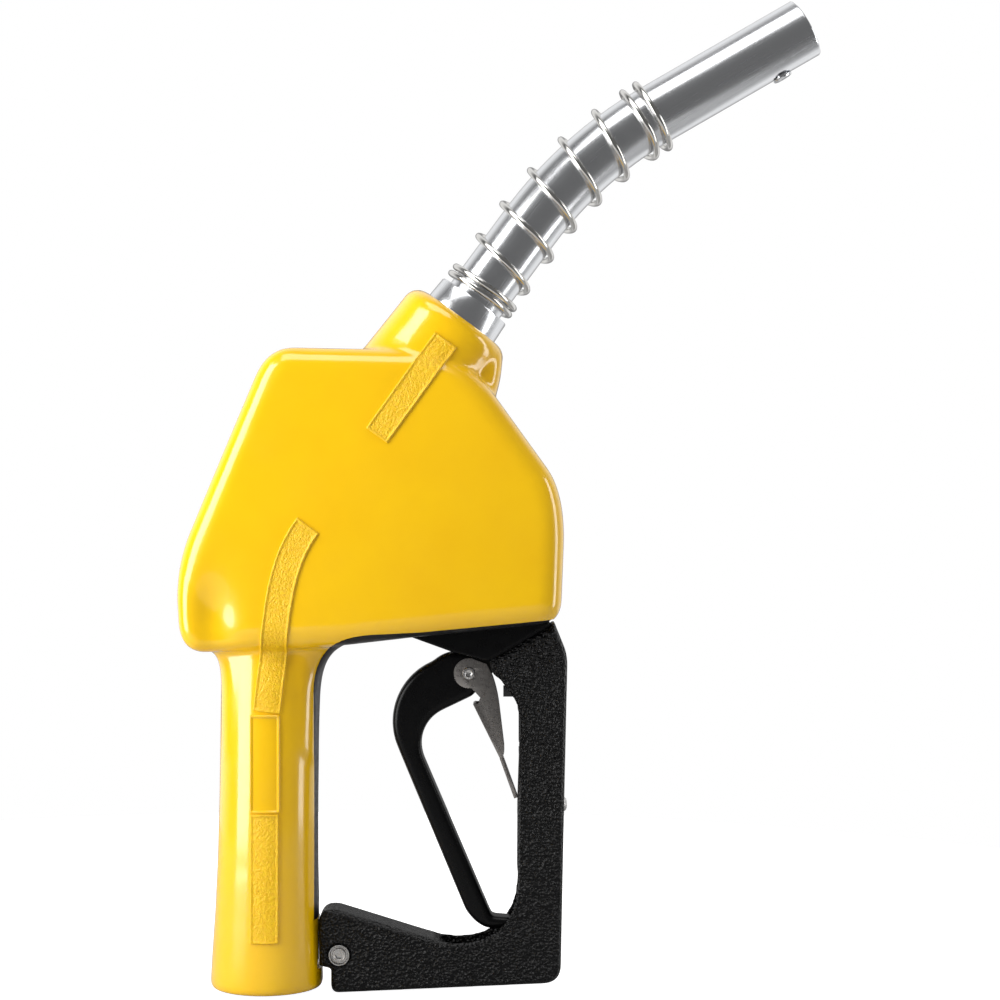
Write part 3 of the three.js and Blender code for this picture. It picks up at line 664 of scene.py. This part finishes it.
def strip_mesh(skin, side, centres, widths, framed):
    """The points and faces of a ribbon along a line of centres, laid on one face of the jacket."""
    lengths = [0.0]
    for a, b in zip(centres, centres[1:]):
        lengths.append(lengths[-1] + math.dist(a, b))
    total = lengths[-1]
    rows = max(2, round(total / STRIP_STEP))
    columns = round(max(widths) / STRIP_STEP)
    along = np.linspace(0, total, rows + 1)
    xs = np.interp(along, lengths, [c[0] for c in centres])
    zs = np.interp(along, lengths, [c[1] for c in centres])
    dx, dz = np.gradient(xs), np.gradient(zs)
    size = np.hypot(dx, dz)
    points = []
    for i, s in enumerate(along):
        width = np.interp(s, [0, total], widths)
        for j in range(columns + 1):
            across = width * (j / columns - 0.5)
            x = xs[i] - dz[i] / size[i] * across
            z = zs[i] + dx[i] / size[i] * across
            start = Vector((x, side * 60, z)) * MM
            hit, normal, _, _ = skin.ray_cast(start, Vector((0, -side, 0)))
            out = strip_relief(across, s, total, width, framed)
            points.append(hit / MM + normal * out)
    faces = []
    for i in range(rows):
        for j in range(columns):
            a = i * (columns + 1) + j
            faces.append((a, a + 1, a + columns + 2, a + columns + 1))
    return points, faces


def strips(solid):
    """Three stippled strips and a plain framed panel, the same on both faces."""
    skin = BVHTree.FromObject(solid, bpy.context.evaluated_depsgraph_get())
    bend = [(18.6, 183.6), *bezier([(18.6, 183.6), (6, 167), (6.4, 147), (1.7, 110.6)], 40)]
    rows = [
        # line of centres, widths at its two ends, whether it is the framed panel
        ([(71.6, 255.6), (44.8, 218.0)], (10.8, 10.4), False),
        (bend, (10.8, 11), False),
        ([(1.05, 109.9), (1.05, 71.4)], (12, 12), True),
        ([(1.0, 71.2), (1.0, 20.8)], (11.3, 11.3), False),
    ]
    for side, name in ((-1, "front"), (1, "back")):
        for number, (line, widths, framed) in enumerate(rows, 1):
            points, faces = strip_mesh(skin, side, line, widths, framed)
            piece = mesh_piece(f"strip_{name}_{number}", points, faces)
            for face in piece.data.polygons:
                face.use_smooth = True
            material = LOOKS["yellow_jacket"] if framed else STIPPLE
            dress(piece, "nozzle", "yellow_jacket", material=material)


# ---- The spout ------------------------------------------------------------------------------

def spout_point(along, across_x=0, across_y=0):
    """A point by its distance along the spout's axis and its place across it."""
    bent = min(max((along - SPOUT_STRAIGHT) / BEND_RADIUS, 0), SPOUT_BEND)
    before = min(along, SPOUT_STRAIGHT)
    after = max(along - BEND_END, 0)
    x = BEND_RADIUS * (1 - math.cos(bent)) + after * math.sin(bent) + across_x * math.cos(bent)
    z = before + BEND_RADIUS * math.sin(bent) + after * math.cos(bent) - across_x * math.sin(bent)
    return Vector((x, across_y, z))


def bent(point):
    """Carries a point of a straight spout to its place on the bent one."""
    return spout_point(point.z, point.x, point.y)


def port_frame(depth):
    """The place of the sensing port, its Z pointing out of the spout."""
    base = spout_point(SPOUT_LENGTH - PORT_FROM_TIP, depth)
    turn = Matrix.Rotation(math.pi / 2 + SPOUT_BEND, 4, "Y")
    return SPOUT_FRAME @ Matrix.Translation(base) @ turn


def spout_tube():
    inner = SPOUT_RADIUS - SPOUT_WALL
    root, tip = -7.7, SPOUT_LENGTH
    heights = np.linspace(root, tip - 0.9, 96)
    lip = [
        (SPOUT_RADIUS, tip - 0.55), (SPOUT_RADIUS - 0.25, tip - 0.15), (SPOUT_RADIUS - 0.6, tip),
        (inner + 0.3, tip), (inner, tip - 0.5),
    ]
    profile = [*((SPOUT_RADIUS, z) for z in heights), *lip, *((inner, z) for z in heights[::-1])]
    tube = turned("spout_tube_drawn", [*profile, profile[0]], LARGE, SPOUT_FRAME, bent)
    cut(tube, turned("hole", [(0, -1), (3.3, -1), (3.3, 8), (0, 8)], SMALL, port_frame(8)))
    return dress(tube, "nozzle", "spout_aluminium", "spout_tube")


def port_bushing():
    profile = [
        (1.3, 0), (3, 0), (3, 3.4), (3.9, 3.5), (4, 3.8),
        (3.7, 4.3), (3, 4.5), (1.8, 4.5), (1.3, 4.1), (1.3, 0),
    ]
    bushing = turned("port_bushing", profile, SMALL, port_frame(8.75))
    return dress(bushing, "nozzle", "spout_aluminium", "vent_port_bushing")


def coil_point(turn):
    """The spring's centre line. Its turns lie close at each end."""
    start = math.radians(54)
    lower_turns, lower_pitch = 1.7, 3.1
    upper_turns, upper_pitch = 1.4, 5.6
    first, last = ADAPTER_TOP + SPRING_WIRE + 0.3, 112.1
    open_turns = SPRING_TURNS - lower_turns - upper_turns
    open_pitch = (last - first - lower_turns * lower_pitch - upper_turns * upper_pitch) / open_turns
    along = first + min(turn, lower_turns) * lower_pitch
    along += min(max(turn - lower_turns, 0), open_turns) * open_pitch
    along += max(turn - lower_turns - open_turns, 0) * upper_pitch
    angle = start - turn * 2 * math.pi
    along += SPRING_LEAN * (1 + math.cos(angle))
    across_x, across_y = SPRING_RADIUS * math.cos(angle), SPRING_RADIUS * math.sin(angle)
    return SPOUT_FRAME @ spout_point(along, across_x, across_y)


def spout_spring():
    name = "spout_spring_wire"
    points = [coil_point(turn) for turn in np.linspace(0, SPRING_TURNS, 520)]
    curve = bpy.data.curves.new(name, "CURVE")
    curve.dimensions = "3D"
    curve.bevel_depth = SPRING_WIRE * MM
    curve.bevel_resolution = 5
    curve.use_fill_caps = True
    spline = curve.splines.new("POLY")
    spline.points.add(len(points) - 1)
    for target, point in zip(spline.points, points):
        target.co = (*(point * MM), 1)
    wire = tidy_normals(link(name, mesh_of(name, curve)))
    return dress(wire, "nozzle", "bright_steel", "spout_spring")


def spout_adapter():
    top = ADAPTER_TOP
    profile = [
        (11, -30), (13.7, -30), (13.7, -2.5), (15.9, -2.5), (15.9, 0), (15.45, top - 0.5),
        (15.1, top), (12.3, top), (12.3, -8), (11, -8), (11, -30),
    ]
    piece = turned("spout_adapter_turned", profile, LARGE, SPOUT_FRAME)
    return dress(piece, "nozzle", "spout_aluminium", "spout_adapter")


# ---- Screws and rivets ----------------------------------------------------------------------

def facing_front(x, y, z):
    """A frame at a point of the front side, its Z pointing out at the front."""
    return Matrix.Translation((x, y, z)) @ Matrix.Rotation(math.pi / 2, 4, "X")


def guard_screw():
    """The screw's head stands in a ring, with a hexagon socket in it."""
    where = facing_front(*GUARD_SCREW)
    profile = [
        (0, -17), (2.4, -17), (2.4, 0), (4.2, 0), (4.2, 1.4), (4.0, 1.8), (3.65, 1.8), (3.4, 1.4),
        (3.3, 0.4), (2.75, 0.4), (2.7, 1.5), (2.5, 1.8), (2.1, 1.8), (1.95, 1.6), (0, 1.6),
    ]
    screw = turned("guard_screw_head", profile, 64, where)
    cut(screw, turned("socket", [(0, 0.2), (1.6, 0.2), (1.6, 4), (0, 4)], 6, where))
    return dress(screw, "nozzle", "screw_steel", "guard_screw")


def clip_rivet():
    half = [
        (2.0, 6.9), (2.45, 7.0), (2.5, 7.3), (2.2, 7.7),
        (1.5, 7.8), (1.2, 7.5), (0.9, 7.35), (0, 7.35),
    ]
    profile = [(r, -z) for r, z in half[::-1]] + [(1.7, -6.9), (1.7, 6.9)] + half
    rivet = turned("clip_rivet_head", profile, SMALL, facing_front(*CLIP_PIVOT))
    return dress(rivet, "lever", "screw_steel", "clip_rivet")


def rack_rivet():
    along_x = Matrix.Translation((0, 0, RACK_RIVET_Z)) @ Matrix.Rotation(math.pi / 2, 4, "Y")
    profile = [
        (0, 99.9), (1.6, 99.9), (1.6, 117.6), (2.7, 117.6),
        (2.7, 118.1), (2.2, 118.7), (1.2, 119), (0, 119),
    ]
    rivet = turned("rack_rivet_head", profile, SMALL, along_x)
    return dress(rivet, "nozzle", "screw_steel", "rack_rivet")


# ---- The scene ------------------------------------------------------------------------------

def area_light(name, place, size, energy):
    """A soft box that faces the middle of the nozzle."""
    middle = Vector((0.09, 0, 0.19))
    light = bpy.data.lights.new(name, "AREA")
    light.shape = "RECTANGLE"
    light.size, light.size_y = size
    light.energy = energy
    lamp = bpy.data.objects.new(name, light)
    lamp.location = place
    lamp.rotation_euler = (middle - Vector(place)).to_track_quat("-Z", "Y").to_euler()
    bpy.context.scene.collection.objects.link(lamp)


def room():
    """A grey room in front of the nozzle and a white backdrop behind it. A surface turned fully
    away mirrors the darker middle of the backdrop, and the camera itself sees plain white."""
    levels = ((0.05, 0.15), (0.5, 1.0), (0.82, 1.0), (0.96, 0.25))  # Y of a direction, brightness
    world = bpy.data.worlds.new("studio")
    bpy.context.scene.world = world
    world.use_nodes = True
    nodes, links = world.node_tree.nodes, world.node_tree.links
    path = nodes.new("ShaderNodeLightPath")
    seen = nodes.new("ShaderNodeBackground")
    seen.inputs["Color"].default_value = (1, 1, 1, 1)
    lit = nodes["Background"]
    place = nodes.new("ShaderNodeTexCoord")
    split = nodes.new("ShaderNodeSeparateXYZ")
    backdrop = nodes.new("ShaderNodeValToRGB")
    stops = backdrop.color_ramp.elements
    for y, _ in levels[1:3]:
        stops.new(y)
    for stop, (y, level) in zip(stops, levels):
        stop.position = y
        stop.color = (level, level, level, 1)
    links.new(place.outputs["Generated"], split.inputs["Vector"])
    links.new(split.outputs["Y"], backdrop.inputs["Fac"])
    links.new(backdrop.outputs["Color"], lit.inputs["Color"])
    mix = nodes.new("ShaderNodeMixShader")
    links.new(path.outputs["Is Camera Ray"], mix.inputs["Fac"])
    links.new(lit.outputs["Background"], mix.inputs[1])
    links.new(seen.outputs["Background"], mix.inputs[2])
    links.new(mix.outputs["Shader"], nodes["World Output"].inputs["Surface"])


def floor():
    """A round pale floor just under the guard. To the camera it is as white as paper."""
    reach, thickness, clearance = 520, 1, 0.4
    level = cad_bounds[0][2] / MM - clearance
    foot = level - thickness
    piece = turned("floor", [(0, foot), (reach, foot), (reach, level), (0, level)], LARGE)
    material = bpy.data.materials.new("pale_floor")
    material.use_nodes = True
    shader = material.node_tree.nodes["Principled BSDF"]
    shader.inputs["Base Color"].default_value = (0.5, 0.5, 0.5, 1)
    shader.inputs["Roughness"].default_value = 0.9
    shader.inputs["Emission Color"].default_value = (1, 1, 1, 1)
    shader.inputs["Specular IOR Level"].default_value = 0
    path = material.node_tree.nodes.new("ShaderNodeLightPath")
    glow = shader.inputs["Emission Strength"]
    material.node_tree.links.new(path.outputs["Is Camera Ray"], glow)
    piece.data.materials.append(material)


def camera():
    """The photograph's own viewpoint: level, square on, and about 0.9 m away."""
    data = bpy.data.cameras.new("camera")
    data.sensor_width = 36
    data.lens = 82.8
    view = bpy.data.objects.new("camera", data)
    view.location = (0.0925, -0.913, 0.1933)
    view.rotation_euler = (math.pi / 2, 0, 0)
    bpy.context.scene.collection.objects.link(view)
    bpy.context.scene.camera = view
    bpy.context.scene.view_settings.view_transform = "Standard"


dress_cad_nodes()
solid = jacket_solid()
jacket(solid)
casting(solid)
strips(solid)
bpy.data.objects.remove(solid)

guard = softened("lever_guard", "guard_moulding", 0.6, 4)
lever = softened("lever", "lever_moulding", 0.5, 36)
bracket = softened("lever_bracket", "bracket_casting", 0.5, 4)
clip = edged("hold_open_clip", "clip_stamping", 0.18)
rack = edged("hold_open_rack", "rack_stamping", 0.15)
dress(guard, "nozzle", "black_plastic", "lever_guard")
dress(lever, "lever", "lever_plastic", "lever")
dress(bracket, "nozzle", "lever_plastic", "lever_bracket")
dress(clip, "clip", "stamped_steel", "hold_open_clip")
dress(rack, "nozzle", "black_casting", "hold_open_rack")

spout_tube()
port_bushing()
spout_spring()
spout_adapter()
guard_screw()
clip_rivet()
rack_rivet()
seam_liners()

area_light("key_left", (-0.62, -0.42, 0.33), (0.44, 1.1), 11)
area_light("fill_right", (1.05, -0.15, 0.2), (0.25, 1.0), 4)
area_light("top", (0.0, -0.45, 1.25), (0.9, 0.6), 5.5)
room()
floor()
camera()
